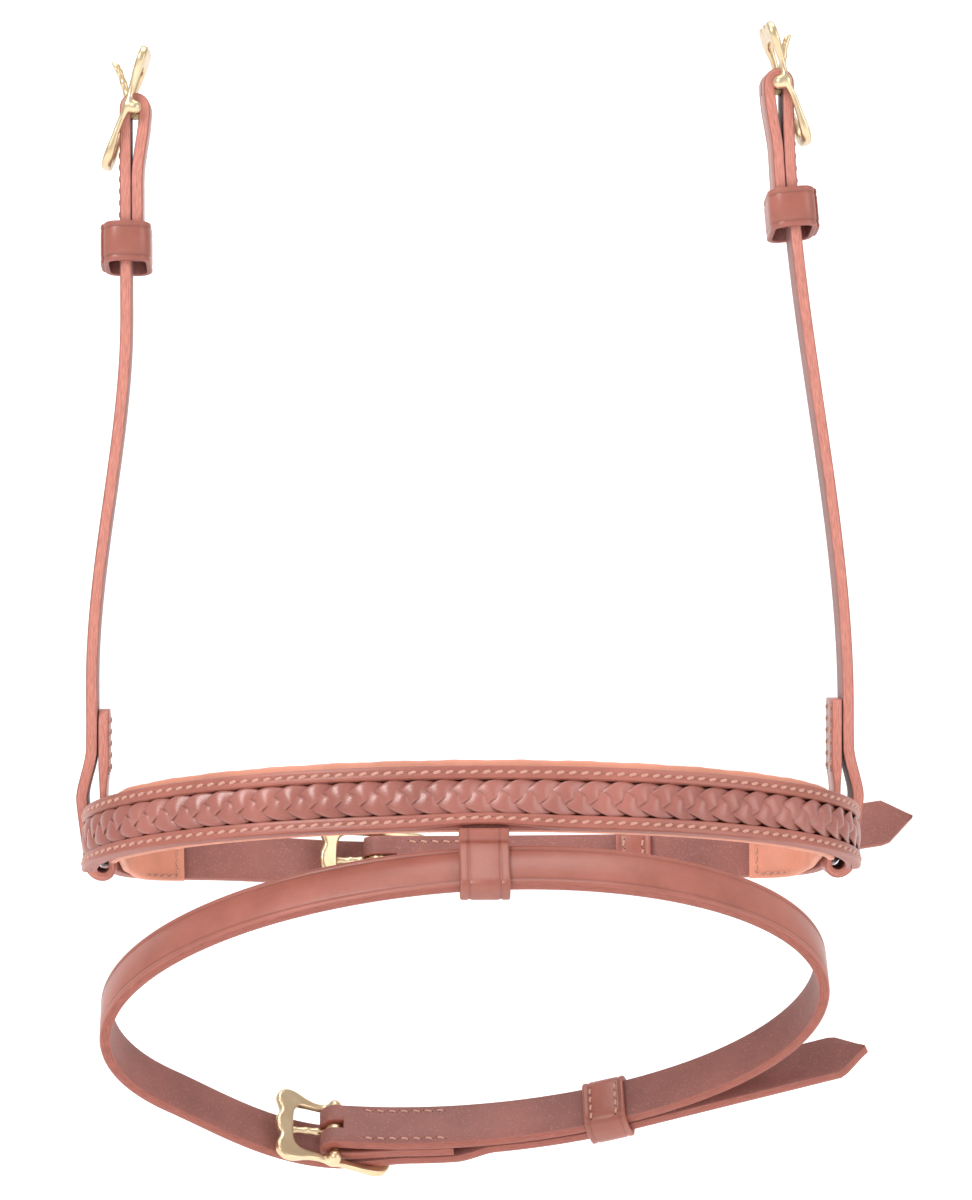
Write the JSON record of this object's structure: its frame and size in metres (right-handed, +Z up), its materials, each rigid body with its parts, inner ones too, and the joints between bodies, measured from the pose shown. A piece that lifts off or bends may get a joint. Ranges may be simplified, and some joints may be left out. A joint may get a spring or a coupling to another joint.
{
  "type": "flash noseband",
  "caption": "Padded cavesson noseband with a plaited front, two cheek straps, a chin strap and a flash strap, each strap with a brass buckle.",
  "frame": {"origin": "middle of the lining's inner face, at the front of the noseband", "axes": "+X to the right as seen from in front, +Y back towards the chin, +Z up towards the poll"},
  "size_m": [0.291, 0.1669, 0.3963],
  "materials": {
    "bridle_leather": "chestnut bridle leather, waxed, with creased and dyed edges",
    "plait_leather": "glossy chestnut strands with orange cut edges",
    "lining_leather": "soft matt tan lining leather",
    "foam": "soft felt filling",
    "brass": "polished cast brass",
    "thread": "waxed tan linen thread"
  },
  "bodies": {
    "noseband": {"noseband_base": "bridle_leather", "noseband_face": "bridle_leather", "plait": "plait_leather", "lining_foam": "foam", "noseband_lining": "lining_leather", "chin_strap_left": "bridle_leather", "chin_strap_right": "bridle_leather", "chin_keeper": "bridle_leather", "stitches_face_top": "thread", "stitches_face_bottom": "thread", "stitches_lining_left": "thread", "stitches_lining_right": "thread", "stitches_chin_fold": "thread", "stitches_chin_keeper": "thread"},
    "chin_buckle": {"chin_buckle_frame": "brass"},
    "chin_tongue": {"chin_buckle_tongue": "brass"},
    "flash_loop": {"flash_loop": "bridle_leather"},
    "flash": {"flash_strap": "bridle_leather", "stitches_flash_fold": "thread"},
    "flash_buckle": {"flash_buckle_frame": "brass"},
    "flash_tongue": {"flash_buckle_tongue": "brass"},
    "flash_runner": {"flash_keeper": "bridle_leather", "stitches_flash_keeper": "thread"},
    "cheek_left": {"cheek_strap_left": "bridle_leather", "stitches_cheek_fold_left": "thread", "stitches_cheek_loop_left": "thread"},
    "cheek_buckle_left": {"cheek_buckle_frame_left": "brass"},
    "cheek_tongue_left": {"cheek_buckle_tongue_left": "brass"},
    "cheek_runner_left": {"cheek_keeper_left": "bridle_leather"},
    "cheek_right": {"cheek_strap_right": "bridle_leather", "stitches_cheek_fold_right": "thread", "stitches_cheek_loop_right": "thread"},
    "cheek_buckle_right": {"cheek_buckle_frame_right": "brass"},
    "cheek_tongue_right": {"cheek_buckle_tongue_right": "brass"},
    "cheek_runner_right": {"cheek_keeper_right": "bridle_leather"}
  },
  "joints": [
    {"name": "chin_buckle_rock", "type": "hinge", "parent": "noseband", "child": "chin_buckle", "pos_m": [-0.03118, 0.12815, -0.0302], "axis": [0, 0.2588, 0.9659], "range_deg": [-3, 3]},
    {"name": "chin_tongue_lift", "type": "hinge", "parent": "chin_buckle", "child": "chin_tongue", "pos_m": [-0.03118, 0.12815, -0.0302], "axis": [0, 0.2588, 0.9659], "range_deg": [-2, 0]},
    {"name": "flash_swing", "type": "hinge", "parent": "noseband", "child": "flash_loop", "pos_m": [0.001, -0.0096, -0.011], "axis": [1, 0, 0], "range_deg": [-35, 8]},
    {"name": "flash_shift", "type": "hinge", "parent": "flash_loop", "child": "flash", "pos_m": [0.01404, 0.1306, -0.16982], "axis": [0, 0.7193, 0.6947], "range_deg": [-2.5, 2.5]},
    {"name": "flash_buckle_rock", "type": "hinge", "parent": "flash", "child": "flash_buckle", "pos_m": [-0.04677, 0.0818, -0.11929], "axis": [0, 0.7193, 0.6947], "range_deg": [-3, 3]},
    {"name": "flash_tongue_lift", "type": "hinge", "parent": "flash_buckle", "child": "flash_tongue", "pos_m": [-0.04677, 0.0818, -0.11929], "axis": [0, 0.7193, 0.6947], "range_deg": [-2, 0]},
    {"name": "flash_runner_slide", "type": "slide", "parent": "flash", "child": "flash_runner", "axis": [0.9422, -0.2328, 0.2411], "range_m": [-0.008, 0.005]},
    {"name": "cheek_swing_left", "type": "hinge", "parent": "noseband", "child": "cheek_left", "pos_m": [-0.1287, 0.08217, -0.01788], "axis": [1, 0, 0], "range_deg": [-10, 5]},
    {"name": "cheek_buckle_turn_left", "type": "hinge", "parent": "cheek_left", "child": "cheek_buckle_left", "pos_m": [-0.11372, 0.08217, 0.23], "axis": [0, 1, 0], "range_deg": [-5, 130]},
    {"name": "cheek_tongue_turn_left", "type": "hinge", "parent": "cheek_buckle_left", "child": "cheek_tongue_left", "pos_m": [-0.11372, 0.08217, 0.23], "axis": [0, 1, 0], "range_deg": [-60, 22]},
    {"name": "cheek_runner_slide_left", "type": "slide", "parent": "cheek_left", "child": "cheek_runner_left", "axis": [0, 0, 1], "range_m": [-0.04, 0.014]},
    {"name": "cheek_swing_right", "type": "hinge", "parent": "noseband", "child": "cheek_right", "pos_m": [0.1287, 0.08217, -0.01788], "axis": [1, 0, 0], "range_deg": [-10, 5]},
    {"name": "cheek_buckle_turn_right", "type": "hinge", "parent": "cheek_right", "child": "cheek_buckle_right", "pos_m": [0.10492, 0.08217, 0.239], "axis": [0, 1, 0], "range_deg": [-130, 5]},
    {"name": "cheek_tongue_turn_right", "type": "hinge", "parent": "cheek_buckle_right", "child": "cheek_tongue_right", "pos_m": [0.10492, 0.08217, 0.239], "axis": [0, 1, 0], "range_deg": [-11, 60]},
    {"name": "cheek_runner_slide_right", "type": "slide", "parent": "cheek_right", "child": "cheek_runner_right", "axis": [-0.0912, 0, 0.9958], "range_m": [-0.04, 0.014]}
  ]
}
